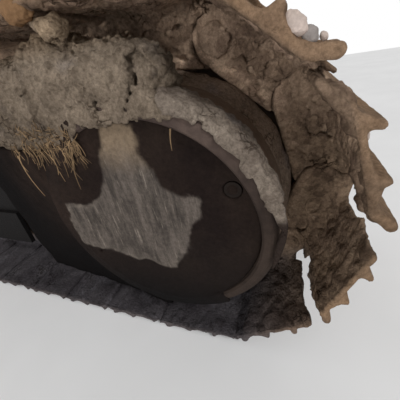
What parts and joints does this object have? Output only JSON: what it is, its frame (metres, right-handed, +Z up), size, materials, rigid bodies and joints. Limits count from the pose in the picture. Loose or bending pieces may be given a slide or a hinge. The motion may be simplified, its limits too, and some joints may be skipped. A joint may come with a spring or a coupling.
{
  "type": "crawler track unit",
  "caption": "One side of an excavator's crawler undercarriage: a chain with wide grouser shoes round a drive sprocket and an idler, on a beam with rollers.",
  "frame": {"origin": "on the ground, midway between the drive sprocket and the idler, in the middle plane of the chain", "axes": "+X towards the drive end, +Y inboard towards the machine's car body, +Z up"},
  "size_m": [4.1712, 0.6, 0.7924],
  "materials": {
    "track_steel": "worn steel under dried mud",
    "drive_steel": "dark paint under a film of dirt",
    "cover_steel": "dark paint with a patch of dried clay",
    "motor_paint": "dark paint, dusty",
    "frame_paint": "ochre paint, muddy and worn",
    "wheel_steel": "worn steel under dried mud",
    "pin_steel": "bare steel, dull",
    "dried_clay": "dried clay, crumbly"
  },
  "bodies": {
    "root": {"track": "track_steel", "sprocket": "drive_steel", "drive_drum": "drive_steel", "drum_cover": "cover_steel", "drum_plugs": "drive_steel", "motor_casing": "drive_steel", "travel_motor": "motor_paint", "drive_bracket": "frame_paint", "track_frame": "frame_paint", "frame_ends": "frame_paint", "idler_fork": "frame_paint", "idler_axle": "pin_steel", "idler_blocks": "wheel_steel", "idler_yoke": "frame_paint", "adjuster_rod": "pin_steel", "bottom_rollers": "wheel_steel", "roller_shafts": "pin_steel", "roller_collars": "wheel_steel", "carrier_rollers": "wheel_steel", "carrier_shafts": "pin_steel", "carrier_stands": "frame_paint", "chain_guides": "frame_paint", "adjuster_cover": "frame_paint", "leg_front": "frame_paint", "leg_rear": "frame_paint", "leg_flanges": "frame_paint", "mud_clump": "dried_clay", "mud_bank": "dried_clay", "mud_strip": "dried_clay"},
    "idler": {"idler": "wheel_steel"}
  },
  "joints": [
    {"name": "idler_spin", "type": "hinge", "parent": "root", "child": "idler", "pos_m": [-1.68672, 0, 0.39622], "axis": [0, 1, 0], "continuous": true}
  ]
}
